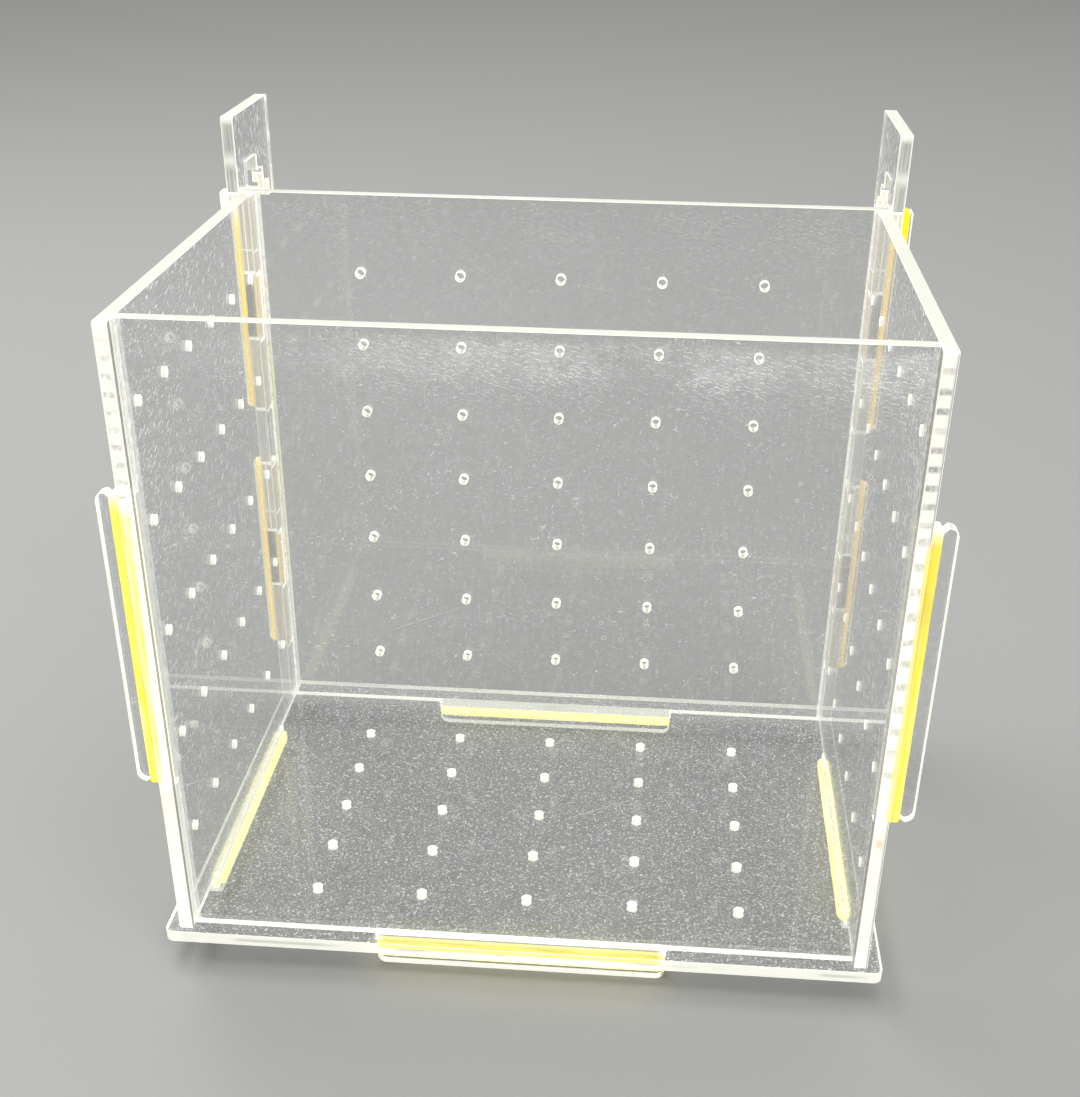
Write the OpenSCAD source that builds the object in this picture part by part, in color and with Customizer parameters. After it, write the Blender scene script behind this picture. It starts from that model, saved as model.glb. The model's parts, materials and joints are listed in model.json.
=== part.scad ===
// Hang-on breeding box for an aquarium, cut from clear acrylic sheet.
// Five walls and two hook plates push together with tabs and slots, and a rubber band
// round each tab's neck keeps it from pulling out. The four tabs under the floor are the feet.
// X runs across the box, Y from its front to its back, and Z = 0 is the surface it stands on.

/* [Sheet] */
// Thickness of the acrylic sheet
sheet = 3; // [2:0.5:4]

/* [Box] */
// Clear width between the two side panels
inner_w = 150; // [130:1:240]
// Clear depth between the front and back panels
inner_d = 100; // [95:1:180]
// Height of the walls above the floor
wall_h = 142; // [136:1:200]
// How far the side panels run past the front panel
side_over_front = 2.5; // [1:0.5:3]
// How far the side panels run past the back panel
side_over_back = 4; // [2:0.5:6]
// How far the floor plate runs past the front and the sides
plate_over = 3.5; // [3:0.1:8]
// How far the floor plate runs past the back panel
plate_over_back = 6.5; // [4:0.5:8]
// Radius at the corners of the floor plate
plate_r = 2; // [1:0.5:5]
// Radius at the free corners of the side panels and hooks
corner_r = 0.8; // [0.4:0.1:1.4]

/* [Tabs] */
// How far the front panel's side tabs and the feet stand out past the sheet they go through
tab_out = 5.5; // [4:0.1:9]
// How far the back panel's side tabs stand out past the hooks
hook_tab_out = 2.5; // [2:0.1:5]
// Length of the tab at each side of the front panel
front_tab_len = 68; // [40:1:80]
// Height of the middle of that tab above the floor
front_tab_mid = 73; // [50:1:85]
// Length of the two tabs at each side of the back panel
back_tab_len = 54.5; // [30:0.5:56]
// Space between those two tabs
back_tab_space = 15; // [8:0.5:24]
// Length of the tab under each wall
foot_len = 66; // [30:1:80]
// Depth of the neck that holds the band, at each end of a tab
neck_in = 1.4; // [0.8:0.1:2.5]
// Radius at the outer corners of a tab
tab_r = 2; // [0.5:0.1:2.5]
// How far the inner corners of a tab's lip slope away from the band
lip_slope = 1; // [0.2:0.1:1.3]
// Clearance between a tab and its slot
slot_gap = 0.15; // [0.05:0.05:0.3]

/* [Bands] */
// Width of the rubber bands on the front tab and the feet
band_w = 2.3; // [1.5:0.1:2.6]
// Width of the rubber bands outside the hooks
hook_band_w = 1.5; // [1:0.1:1.6]
// Thickness of the rubber
band_t = 1.4; // [0.8:0.1:1.9]
// Room between a band and the lip of its tab
band_gap = 0.1; // [0.05:0.05:0.3]

/* [Hooks] */
// Height of the hooks above the rim
hook_rise = 17.5; // [14:0.5:40]
// Reach of the hooks behind the back panel's inner face
hook_reach = 31; // [28:0.5:45]
// Reach of the hooks in front of the back panel's inner face
hook_front = 2; // [2:0.5:5]
// Width of the hook's leg at its lower end
leg_w = 4.5; // [3:0.5:7]
// Depth of the leg's lower end below the rim
leg_drop = 6.5; // [4:0.5:20]
// Height of the slot's narrow end above the rim
slot_rise = 5.5; // [4:0.5:12]
// Width that each step of the slot gains
step_w = 5; // [3:0.5:6]
// Height of each step of the slot
step_h = 4; // [2:0.5:4.5]

/* [Holes] */
// Diameter of the water holes
hole_d = 2.2; // [1.5:0.1:3.5]
// Spacing of the holes across the box
hole_x = 25; // [15:0.5:28]
// Spacing of the rows of holes in the back panel
back_row = 17.9; // [10:0.1:18.5]
// Height of the back panel's first row above the floor
back_row_low = 15.3; // [6:0.1:20]
// Number of rows in the back panel
back_rows = 7; // [1:1:7]
// Spacing of the side panels' holes from front to back
side_col = 16.9; // [8:0.1:17]
// Distance of the side panels' first holes behind the front panel
side_col_front = 7.2; // [3:0.1:8]
// Number of holes in each of the side panels' rows
side_cols = 6; // [1:1:6]
// Spacing of the rows in the side panels
side_row = 25.4; // [10:0.1:27]
// Height of the side panels' first row above the floor
side_row_low = 21.2; // [10:0.1:24]
// Number of rows in the side panels
side_rows = 5; // [1:1:5]
// Spacing of the floor's rows from front to back
floor_row = 17.1; // [8:0.1:18]
// Distance of the floor's first row behind the front panel
floor_row_front = 14.1; // [8:0.1:20]
// Number of rows in the floor
floor_rows = 5; // [1:1:5]
// Number of holes across the floor and the back panel
hole_cols = 5; // [1:2:5]

/* [Hidden] */
$fn = 48;
cut_past = 1;
plate_z = tab_out;
floor_z = plate_z + sheet;
outer_w = inner_w + 2 * sheet;
outer_d = inner_d + 2 * sheet;
side_front = -outer_d / 2 - side_over_front;
side_back = outer_d / 2 + side_over_back;
plate_front = -outer_d / 2 - plate_over;
plate_back = outer_d / 2 + plate_over_back;
plate_half = outer_w / 2 + plate_over;
hook_h = wall_h + hook_rise;
slot_top = wall_h + slot_rise;
front_in = -inner_d / 2;
back_in = inner_d / 2;
front_mid = front_in - sheet / 2;
back_mid = back_in + sheet / 2;
side_mid = (inner_w + sheet) / 2;
hook_back = back_in + hook_reach;
box_y = -(plate_front + hook_back) / 2;
upper_mid = wall_h - back_tab_len / 2;
lower_mid = upper_mid - back_tab_len - back_tab_space;

// ---- flat shapes ----

// Rectangle from the origin with four rounded corners
module round_rect(w, h, r) {
    translate([r, 0]) square([w - 2 * r, h]);
    translate([0, r]) square([w, h - 2 * r]);
    for (x = [r, w - r], y = [r, h - r])
        translate([x, y]) circle(r = r);
}

// Tab that grows along +Y from an edge on the X axis, through sheets of the given depth,
// with a neck for a band of the given width and a lip past it
module tab(len, through, out, band) {
    neck = band + band_gap;
    lip = out - neck;
    neck_len = len - 2 * neck_in;
    translate([-len / 2, -sheet]) square([len, sheet + through]);
    translate([-neck_len / 2, 0]) square([neck_len, through + out - lip / 2]);
    translate([-len / 2, through + neck]) tab_lip(len, lip);
}

// Bar with its two far corners rounded and its two near ones sloped
module tab_lip(len, w) {
    r = min(tab_r, w);
    slope = min(lip_slope, w / 2);
    intersection() {
        translate([0, -2 * r]) round_rect(len, w + 2 * r, r);
        polygon([[slope, 0], [len - slope, 0], [len, slope], [len, w], [0, w], [0, slope]]);
    }
}

module simple_tab(len) {
    tab(len, sheet, tab_out, band_w);
}

module hook_tab(len) {
    tab(len, 2 * sheet, hook_tab_out, hook_band_w);
}

// Slot for a tab of the given length, its long side along X, centred on the origin
module slot_x(len) {
    square([len + 2 * slot_gap, sheet + 2 * slot_gap], center = true);
}

module slot_y(len) {
    rotate(90) slot_x(len);
}

// Grid of water holes that starts at the given point
module holes(start, cols, col_step, rows, row_step) {
    for (i = [0 : cols - 1], j = [0 : rows - 1])
        translate([start.x + i * col_step, start.y + j * row_step])
            circle(d = hole_d);
}

// Rubber loop round the neck of a tab of the given length
module band_ring(len) {
    neck_len = len - 2 * neck_in;
    difference() {
        translate([-neck_len / 2 - band_t, -sheet / 2 - band_t])
            round_rect(neck_len + 2 * band_t, sheet + 2 * band_t, band_t);
        square([neck_len, sheet], center = true);
    }
}

// ---- sheets stood in their places ----

// Sheet drawn in X and Z, its front face at the given Y
module wall_xz(y) {
    translate([0, y + sheet, floor_z])
        rotate([90, 0, 0])
            linear_extrude(sheet) children();
}

// Sheet drawn in Y and Z, its lower-X face at the given X
module wall_yz(x, thick = sheet) {
    translate([x, 0, floor_z])
        rotate([90, 0, 90])
            linear_extrude(thick) children();
}

module in_place() {
    translate([0, box_y, 0]) children();
}

// ---- the parts ----

module front_outline() {
    translate([-inner_w / 2, 0]) square([inner_w, wall_h]);
    for (s = [-1, 1])
        translate([s * inner_w / 2, front_tab_mid])
            rotate(-90 * s) simple_tab(front_tab_len);
    rotate(180) simple_tab(foot_len);
}

module back_outline() {
    difference() {
        translate([-inner_w / 2, 0]) square([inner_w, wall_h]);
        holes([-(hole_cols - 1) / 2 * hole_x, back_row_low], hole_cols, hole_x, back_rows, back_row);
    }
    for (s = [-1, 1], mid = [lower_mid, upper_mid])
        translate([s * inner_w / 2, mid])
            rotate(-90 * s) hook_tab(back_tab_len);
    rotate(180) simple_tab(foot_len);
}

// Slots for the back panel's side tabs
module back_tab_slots() {
    for (mid = [lower_mid, upper_mid])
        translate([back_mid, mid]) slot_y(back_tab_len);
}

// The upper slot runs out of the side panel's rim, because its tab ends there
module rim_notch() {
    translate([back_in - slot_gap, upper_mid])
        square([sheet + 2 * slot_gap, back_tab_len / 2 + cut_past]);
}

module side_outline() {
    difference() {
        translate([side_front, 0]) round_rect(side_back - side_front, wall_h, corner_r);
        translate([front_mid, front_tab_mid]) slot_y(front_tab_len);
        back_tab_slots();
        rim_notch();
        holes([front_in + side_col_front, side_row_low], side_cols, side_col, side_rows, side_row);
    }
    rotate(180) simple_tab(foot_len);
}

module plate_outline() {
    difference() {
        translate([-plate_half, plate_front])
            round_rect(2 * plate_half, plate_back - plate_front, plate_r);
        for (y = [front_mid, back_mid])
            translate([0, y]) slot_x(foot_len);
        for (x = [-side_mid, side_mid])
            translate([x, 0]) slot_y(foot_len);
        holes([-(hole_cols - 1) / 2 * hole_x, front_in + floor_row_front],
            hole_cols, hole_x, floor_rows, floor_row);
    }
}

// Upright bar with a hook at its top, its back edge flush with the side panel's. The slot
// under the hook narrows upwards in steps, so that it fits glass of different thickness
module hook_outline() {
    hook_start = back_in - hook_front;
    leg_start = hook_back - leg_w;
    leg_end = wall_h - leg_drop;
    difference() {
        translate([hook_start, 0]) round_rect(hook_back - hook_start, hook_h, corner_r);
        translate([side_back, -cut_past])
            square([hook_back - side_back + cut_past, leg_end + cut_past]);
        for (i = [0 : 2])
            translate([side_back, leg_end - cut_past])
                square([leg_start - side_back - i * step_w,
                    slot_top - (2 - i) * step_h - leg_end + cut_past]);
        back_tab_slots();
    }
}

module front_panel() {
    color([0.86, 0.9, 0.88, 0.35])
        in_place() wall_xz(front_in - sheet) front_outline();
}

module back_panel() {
    color([0.84, 0.89, 0.9, 0.35])
        in_place() wall_xz(back_in) back_outline();
}

module left_panel() {
    color([0.88, 0.9, 0.84, 0.35])
        in_place() wall_yz(-inner_w / 2 - sheet) side_outline();
}

module right_panel() {
    color([0.88, 0.9, 0.84, 0.35])
        in_place() wall_yz(inner_w / 2) side_outline();
}

module bottom_plate() {
    color([0.8, 0.85, 0.86, 0.35])
        in_place() translate([0, 0, plate_z])
            linear_extrude(sheet) plate_outline();
}

module left_hook() {
    color([0.92, 0.93, 0.87, 0.5])
        in_place() wall_yz(-outer_w / 2 - sheet) hook_outline();
}

module right_hook() {
    color([0.92, 0.93, 0.87, 0.5])
        in_place() wall_yz(outer_w / 2) hook_outline();
}

// Band outside a side panel or hook, round a tab of the panel whose middle plane is at y
module side_band(side, y, mid, len, past, w) {
    x = side < 0 ? -outer_w / 2 - past - w : outer_w / 2 + past;
    color([0.93, 0.78, 0.22])
        in_place() translate([0, y, 0])
            wall_yz(x, w) translate([0, mid]) rotate(90) band_ring(len);
}

module front_band(side) {
    side_band(side, front_mid, front_tab_mid, front_tab_len, 0, band_w);
}

module hook_band(side, mid) {
    side_band(side, back_mid, mid, back_tab_len, sheet, hook_band_w);
}

// Band under the floor plate, round the foot at the given place
module foot_band(x, y, turn) {
    color([0.93, 0.78, 0.22])
        in_place() translate([x, y, plate_z - band_w])
            rotate(turn) linear_extrude(band_w) band_ring(foot_len);
}

front_panel();
back_panel();
left_panel();
right_panel();
bottom_plate();
left_hook();
right_hook();
front_band(-1);  // band_front_left
front_band(1);  // band_front_right
hook_band(-1, upper_mid);  // band_back_left_upper
hook_band(-1, lower_mid);  // band_back_left_lower
hook_band(1, upper_mid);  // band_back_right_upper
hook_band(1, lower_mid);  // band_back_right_lower
foot_band(0, front_mid, 0);  // band_foot_front
foot_band(0, back_mid, 0);  // band_foot_back
foot_band(-side_mid, 0, 90);  // band_foot_left
foot_band(side_mid, 0, 90);  // band_foot_right
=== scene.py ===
import json
import math
from functools import reduce
import bpy
import bmesh
from mathutils import Matrix, Vector

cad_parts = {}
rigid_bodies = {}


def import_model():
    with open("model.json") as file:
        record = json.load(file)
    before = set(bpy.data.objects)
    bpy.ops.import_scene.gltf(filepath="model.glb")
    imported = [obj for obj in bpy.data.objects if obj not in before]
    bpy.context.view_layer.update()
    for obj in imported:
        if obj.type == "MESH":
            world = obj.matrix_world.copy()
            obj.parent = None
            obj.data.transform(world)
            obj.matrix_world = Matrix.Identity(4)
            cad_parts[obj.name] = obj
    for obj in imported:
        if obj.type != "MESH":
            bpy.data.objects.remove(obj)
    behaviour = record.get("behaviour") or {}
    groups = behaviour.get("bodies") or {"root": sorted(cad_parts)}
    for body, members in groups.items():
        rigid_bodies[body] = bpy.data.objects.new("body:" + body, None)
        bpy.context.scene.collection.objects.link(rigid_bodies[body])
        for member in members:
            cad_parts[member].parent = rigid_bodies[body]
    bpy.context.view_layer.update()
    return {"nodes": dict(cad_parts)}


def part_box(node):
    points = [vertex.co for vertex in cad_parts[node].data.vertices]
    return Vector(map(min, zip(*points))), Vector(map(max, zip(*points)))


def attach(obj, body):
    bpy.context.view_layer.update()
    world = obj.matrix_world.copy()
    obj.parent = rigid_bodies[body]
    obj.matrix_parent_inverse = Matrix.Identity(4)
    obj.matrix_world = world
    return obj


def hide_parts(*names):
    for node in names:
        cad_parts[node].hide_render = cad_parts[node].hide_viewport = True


mm = 0.001
scene = bpy.context.scene
for leftover in list(bpy.data.objects):   # Blender starts with its own cube, lamp and camera
    bpy.data.objects.remove(leftover)

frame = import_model()

cameraSet = {
    "place": (25.75, -325.26, 232.61),   # mm
    "turn": 3.975,                       # degrees to the left of straight on
    "tilt": -29.99,                      # degrees, looking down
    "roll": 0.79,
    "lens": 48.79,
    "shift": (-0.0159, 0.1043),
    "nearest": 0.01,                     # m
    "farthest": 50.0,
}

studio = {
    "floorSize": 12.0,                   # m
    "floorColor": (0.335, 0.335, 0.33),
    "floorShades": (0.985, 1.015),       # of its darker and lighter grains
    "floorGrain": 900.0,
    "floorRoughness": 0.6,
    "worldColor": (0.80, 0.80, 0.79),
    "worldStrength": 0.55,
    "exposure": 0.0,
    "softboxes": {                       # place, aim, size (m), watts
        "overheadSoftbox": ((0.0, 0.5, 2.4), (0, 0.4, 0), (3.0, 3.0), 42.0),
        "keySoftbox": ((-0.55, 0.25, 1.0), (0, 0, 0.05), (0.7, 0.5), 7.0),
        "frontSoftbox": ((0.6, -0.8, 0.8), (0, 0, 0.06), (0.6, 0.6), 4.0),
    },
    "bounces": {                         # light crosses many sheet faces
        "max_bounces": 28,
        "transmission_bounces": 24,
        "glossy_bounces": 8,
        "transparent_max_bounces": 32,
    },
}


def placeCamera(spec):
    data = bpy.data.cameras.new("camera")
    data.lens = spec["lens"]
    data.shift_x, data.shift_y = spec["shift"]
    data.clip_start = spec["nearest"]
    data.clip_end = spec["farthest"]
    camera = bpy.data.objects.new("camera", data)
    turn = Matrix.Rotation(math.radians(spec["turn"]), 4, "Z")
    tilt = Matrix.Rotation(math.radians(90 + spec["tilt"]), 4, "X")   # an unturned camera looks straight down
    roll = Matrix.Rotation(math.radians(spec["roll"]), 4, "Z")
    camera.matrix_world = Matrix.Translation(Vector(spec["place"]) * mm) @ turn @ tilt @ roll
    scene.collection.objects.link(camera)
    scene.camera = camera


def softbox(name, place, aim, size, watts):
    data = bpy.data.lights.new(name, "AREA")
    data.shape = "RECTANGLE"
    data.size, data.size_y = size
    data.energy = watts
    lamp = bpy.data.objects.new(name, data)
    lamp.location = place
    lamp.rotation_euler = (Vector(aim) - Vector(place)).to_track_quat("-Z", "Y").to_euler()
    scene.collection.objects.link(lamp)


def newMaterial(name):
    material = bpy.data.materials.new(name)
    material.use_nodes = True
    material.node_tree.nodes.clear()
    return material, material.node_tree


def addNode(tree, kind, inputs=None, **settings):
    node = tree.nodes.new(kind)
    for key, value in settings.items():
        setattr(node, key, value)
    for key, value in (inputs or {}).items():
        socket = node.inputs[key]
        if isSocket(value):
            tree.links.new(value, socket)
        else:
            socket.default_value = value
    return node


def fromNode(tree, kind, inputs=None, **settings):   # the first output of a new node
    return addNode(tree, kind, inputs, **settings).outputs[0]


def isSocket(value):
    return isinstance(value, bpy.types.NodeSocket)


def treeOf(*values):   # the tree of the sockets among some values
    return next(value.id_data for value in values if isSocket(value))


def maths(operation, a, b=0.0, c=0.0, clamp=False):
    inputs = {0: a, 1: b, 2: c}
    return fromNode(treeOf(a, b, c), "ShaderNodeMath", inputs, operation=operation, use_clamp=clamp)


def times(*values):
    return reduce(lambda a, b: maths("MULTIPLY", a, b), values)


def most(*values):
    return reduce(lambda a, b: maths("MAXIMUM", a, b), values)


def minus(a, b):
    return maths("SUBTRACT", a, b)


def under(value, limit):
    return maths("LESS_THAN", value, limit)


def over(value, limit):
    return maths("GREATER_THAN", value, limit)


def absolute(value):
    return maths("ABSOLUTE", value)


def gap(a, b):
    return absolute(minus(a, b))


def remap(value, low, high, newLow=0.0, newHigh=1.0):
    keys = {"Value": value, "From Min": low, "From Max": high, "To Min": newLow, "To Max": newHigh}
    return fromNode(treeOf(value), "ShaderNodeMapRange", keys)


def fromTo(share, low, high):
    return remap(share, 0.0, 1.0, low, high)


def between(value, low, high, soft):   # 1 from low to high, with soft ends
    return times(remap(value, low - soft, low + soft), remap(value, high + soft, high - soft))


def strip(value, span, base=0.0):   # 1 along a span: mm from base of its start and end, and their softness
    start, end, soft = span
    return between(value, base + start * mm, base + end * mm, soft * mm)


def fade(value, span, base=0.0):   # up to 1 over a span: mm from base of its start and end, and its least
    start, end, least = span
    return remap(value, base + start * mm, base + end * mm, least, 1.0)


def mixShaders(share, first, second):
    return fromNode(treeOf(first), "ShaderNodeMixShader", {0: share, 1: first, 2: second})


def mixed(kind, share, first, second):
    inputs = {"Factor": share, "A": first, "B": second}
    return addNode(treeOf(share, first, second), "ShaderNodeMix", inputs, data_type=kind).outputs["Result"]


def mixColors(share, *colors):
    return mixed("RGBA", share, *[color if isSocket(color) else (*color, 1) for color in colors])


def vector(x=0.0, y=0.0, z=0.0):
    return fromNode(treeOf(x, y, z), "ShaderNodeCombineXYZ", {0: x, 1: y, 2: z})


def axesOf(value):
    return addNode(treeOf(value), "ShaderNodeSeparateXYZ", {0: value}).outputs


def placeOf(tree):
    return axesOf(objectCoords(tree))


def normalOf(tree):
    return axesOf(addNode(tree, "ShaderNodeTexCoord").outputs["Normal"])


def objectCoords(tree, scale=(1, 1, 1), turns=(0, 0, 0)):   # turns in degrees
    coords = addNode(tree, "ShaderNodeTexCoord").outputs["Object"]
    turns = [math.radians(turn) for turn in turns]
    return fromNode(tree, "ShaderNodeMapping", {"Vector": coords, "Rotation": turns, "Scale": scale})


# noises: size in mm, detail, values at which they begin and are full, then the coordinates' scale and turns
grains = {
    "patches": (38.0, 3.0, 0.36, 0.60),
    "otherPatches": (55.0, 2.0, 0.60, 0.40),
    "clusters": (16.0, 2.0, 0.44, 0.58),
    "rows": (20.0, 2.0, 0.36, 0.54),
    "dust": (0.55, 1.0, 0.58, 0.72),
    "arcBreaks": (1.2, 1.0, 0.52, 0.60),
    "haze": (70.0, 4.0, 0.30, 0.75),
    "film": (3.0, 3.0, 0.30, 0.70),
    "seam": (0.8, 2.0, 0.25, 0.60, (1, 1, 0.35)),
    "glue": (0.9, 2.0, 0.30, 0.70, (1, 1, 0.1)),
    "goldStreaks": (0.6, 2.0, 0.35, 0.65, (0.05, 1, 1)),
    "cloud": (6.0, 4.0, 0.30, 0.70),
    "fineCloud": (0.7, 3.0, 0.35, 0.75),
    "jointHatch": (0.5, 2.0, 0.40, 0.60, (1, 1, 0.3), (40, 0, 0)),
    "greyerMiddle": (22.0, 2.0, 0.50, 0.58, (1, 1, 0.1)),
    "rungDrift": (25.0, 1.0, 0.0, 0.25),
    "rungStrength": (5.0, 1.0, 0.18, 0.50, (0.05, 0.05, 1)),
    "rungHatch": (0.5, 1.5, 0.34, 0.58, (1, 1, 0.45), (0, 25, 0)),
    "bleedLines": (0.40, 1.0, 0.30, 0.60, (1, 1, 0.03)),
    "hookStreaks": (0.35, 2.0, 0.42, 0.70, (1, 1, 0.03)),
    "rubberLines": (0.55, 1.0, 0.36, 0.64),
    "rubberCloud": (5.0, 3.0, 0.35, 0.70),
    "rubberSkin": (0.25, 2.0, 0.0, 1.0),
}


def noiseAt(tree, grain, place=None):
    size, detail, low, high, *coords = grains[grain]
    if place is None:
        place = objectCoords(tree, *coords)
    noise = addNode(tree, "ShaderNodeTexNoise", {"Vector": place, "Scale": 1 / (size * mm), "Detail": detail})
    return remap(noise.outputs["Fac"], low, high)


def finished(material, shader):
    addNode(material.node_tree, "ShaderNodeOutputMaterial", {"Surface": shader})
    return material


def floorMaterial(spec):
    material, tree = newMaterial("floorPaper")
    grain = addNode(tree, "ShaderNodeTexNoise", {"Vector": objectCoords(tree), "Scale": spec["floorGrain"]})
    darker, lighter = [[c * share for c in spec["floorColor"]] for share in spec["floorShades"]]
    tone = mixColors(grain.outputs["Fac"], darker, lighter)
    return finished(material, fromNode(tree, "ShaderNodeBsdfPrincipled", {
        "Base Color": tone, "Roughness": spec["floorRoughness"]}))


def buildStudio(spec):
    bpy.ops.mesh.primitive_plane_add(size=spec["floorSize"])
    floor = bpy.context.object
    floor.name = "studioFloor"
    floor.data.materials.append(floorMaterial(spec))
    world = bpy.data.worlds.new("studioWorld")
    world.use_nodes = True
    back = world.node_tree.nodes["Background"]
    back.inputs["Color"].default_value = (*spec["worldColor"], 1)
    back.inputs["Strength"].default_value = spec["worldStrength"]
    scene.world = world
    for name, settings in spec["softboxes"].items():
        softbox(name, *settings)
    scene.view_settings.view_transform = "Standard"
    scene.view_settings.exposure = spec["exposure"]
    for name, count in spec["bounces"].items():
        setattr(scene.cycles, name, count)
    scene.cycles.caustics_reflective = False
    scene.cycles.caustics_refractive = False


acrylic = {
    "tint": (0.87, 0.88, 0.875),
    "shadowTint": (0.93, 0.935, 0.93),
    "ior": 1.49,
    "scuffColor": (0.98, 0.98, 0.97),
    "scuffGlow": 0.75,
    "chamfer": 0.12,      # mm
    "airGap": 0.02,       # mm between sheets that touch
    "holeSegments": 32,
}

# how marked each sheet is, from 0 to 1, and in the column turn which way its short strokes run, in degrees
wearColumns = "strokes turn crossStrokes arcs scales specks dust rings runs hairs haze".split()
wear = {
    "front": (0.08, 78, 0.07, 0.30, 0.62, 0.34, 0.05, 0.32, 0.22, 0.45, 0.020),
    "back": (0.10, 20, 0.08, 0.20, 0.32, 0.32, 0.05, 0.20, 0.12, 0.35, 0.016),
    "side": (1.00, 30, 0.90, 0.12, 0.15, 0.50, 0.08, 0.06, 0.12, 0.40, 0.018),
    "plate": (0.12, 8, 0.12, 0.14, 0.00, 0.75, 0.50, 0.12, 0.00, 0.60, 0.025),
    "hook": (0.95, 76, 0.70, 0.20, 0.00, 0.50, 0.12, 0.00, 1.00, 0.60, 0.025),
}
wearPattern = {
    "shift": 31.7,        # how far a sheet's depth moves its pattern sideways
    "softRim": 0.25,      # of a mark's size
    "faintest": 0.5,
    "marks": {            # cell in mm, turn in degrees, largest half size in cells, share of the cells
        "strokes": ((1.3, 4.6), 90, 0.26, 0.95),
        "crossStrokes": ((1.1, 3.2), 104, 0.25, 0.90),
        "specks": ((1.1, 1.1), 0, 0.13, 0.5),
        "drops": ((4.5, 4.5), 0, 0.05, 0.35),
        "runs": ((0.45, 14.0), 0, 0.16, 0.10),
        "hairs": ((0.6, 90.0), 67, 0.11, 0.012),
        "otherHairs": ((0.6, 70.0), -81, 0.11, 0.012),
    },
    "rings": {"cell": (4.2, 4.2), "share": 0.20, "radius": (0.05, 0.11), "line": (0.022, 0.008)},
    "arcs": {"cell": (2.4, 1.5), "line": (0.014, 0.0042)},
    "scales": {"cell": (1.25, 0.9375), "turn": 12, "share": 0.75, "radius": 0.32, "line": (0.10, 0.02),
               "bend": (0.0, 0.15), "faintest": 0.4},
    "rowsBegin": (-19, -8, 0.0),    # span from the top of the walls, and so the next two
    "rowsEnd": (-1, -3, 0.0),
    "filmBegins": (-12, -7, 0.0),
    "film": 0.13,
    "moreRows": (-60, 5, 0.25),     # along the part's own axes, and so the next two
    "boldAhead": (22, -45, 0.30),
    "boldAbove": (15, 105, 0.30),
    "besideHook": (-1, -3, 0.15),   # from the hook's front
    "behindPanel": (-1, 1, 0.15),   # from the top of the walls
}


def lampsPassThrough(shader, tint):
    tree = treeOf(shader)
    clear = fromNode(tree, "ShaderNodeBsdfTransparent", {"Color": (*tint, 1)})
    path = addNode(tree, "ShaderNodeLightPath").outputs["Is Shadow Ray"]
    return mixShaders(path, shader, clear)


# flat coordinates on a sheet, moved sideways by its depth so that its two faces wear differently
def sheetCoords(tree):
    coords = addNode(tree, "ShaderNodeTexCoord").outputs
    place = axesOf(coords["Object"])
    facing = axesOf(fromNode(tree, "ShaderNodeVectorMath", {0: coords["Normal"]}, operation="ABSOLUTE"))
    across = mixed("FLOAT", over(facing[0], 0.5), place[0], place[1])
    along = mixed("FLOAT", over(facing[2], 0.5), place[2], place[1])
    depth = addNode(tree, "ShaderNodeVectorMath", {0: coords["Object"], 1: coords["Normal"]},
                    operation="DOT_PRODUCT").outputs["Value"]
    across = maths("MULTIPLY_ADD", depth, wearPattern["shift"], across)
    return vector(across, along, depth), along


def mapped(place, cell, turn=0.0):   # cell in mm, turn in degrees
    tree = treeOf(place)
    turned = fromNode(tree, "ShaderNodeMapping", {"Vector": place, "Rotation": (0, 0, math.radians(turn))})
    scale = (1 / (cell[0] * mm), 1 / (cell[1] * mm), 1)
    return fromNode(tree, "ShaderNodeMapping", {"Vector": turned, "Scale": scale})


def cells(flat):
    tree = treeOf(flat)
    grid = addNode(tree, "ShaderNodeTexVoronoi", {"Vector": flat, "Scale": 1.0}, voronoi_dimensions="2D")
    return grid.outputs, addNode(tree, "ShaderNodeSeparateColor", {0: grid.outputs["Color"]}).outputs


# one mark in a share of the cells
def marks(place, name, lean=0.0):
    cell, turn, size, share = wearPattern["marks"][name]
    grid, luck = cells(mapped(place, cell, turn - lean))
    radius = remap(luck[0], 1 - share, 1.0, 0.0, size)
    inside = remap(minus(radius, grid["Distance"]), 0.0, size * wearPattern["softRim"])
    return times(inside, fromTo(luck[1], wearPattern["faintest"], 1.0))


def driedRings(place):
    ring = wearPattern["rings"]
    grid, luck = cells(mapped(place, ring["cell"]))
    radius = fromTo(luck[1], *ring["radius"])
    line = remap(gap(grid["Distance"], radius), *ring["line"])
    return times(line, over(luck[0], 1 - ring["share"]))


# short curved lines: the level lines of a noise, broken up by a finer one
def wetArcs(tree, place):
    arc = wearPattern["arcs"]
    flat = mapped(place, arc["cell"])
    bend = addNode(tree, "ShaderNodeTexNoise", {"Vector": flat, "Scale": 1.0, "Detail": 1.0}).outputs["Fac"]
    line = remap(gap(bend, 0.5), *arc["line"])
    return times(line, noiseAt(tree, "arcBreaks", place))


# small arcs like fish scales, where drops dried in rows
def scaleArcs(tree, place):
    scale = wearPattern["scales"]
    flat = mapped(place, scale["cell"], scale["turn"])
    grid, luck = cells(flat)
    away = fromNode(tree, "ShaderNodeVectorMath", {0: flat, 1: grid["Position"]}, operation="SUBTRACT")
    line = remap(gap(grid["Distance"], scale["radius"]), *scale["line"])
    upper = remap(axesOf(away)[1], *scale["bend"])
    some = over(luck[0], 1 - scale["share"])
    return times(line, upper, some, fromTo(luck[1], scale["faintest"], 1.0))


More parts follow.
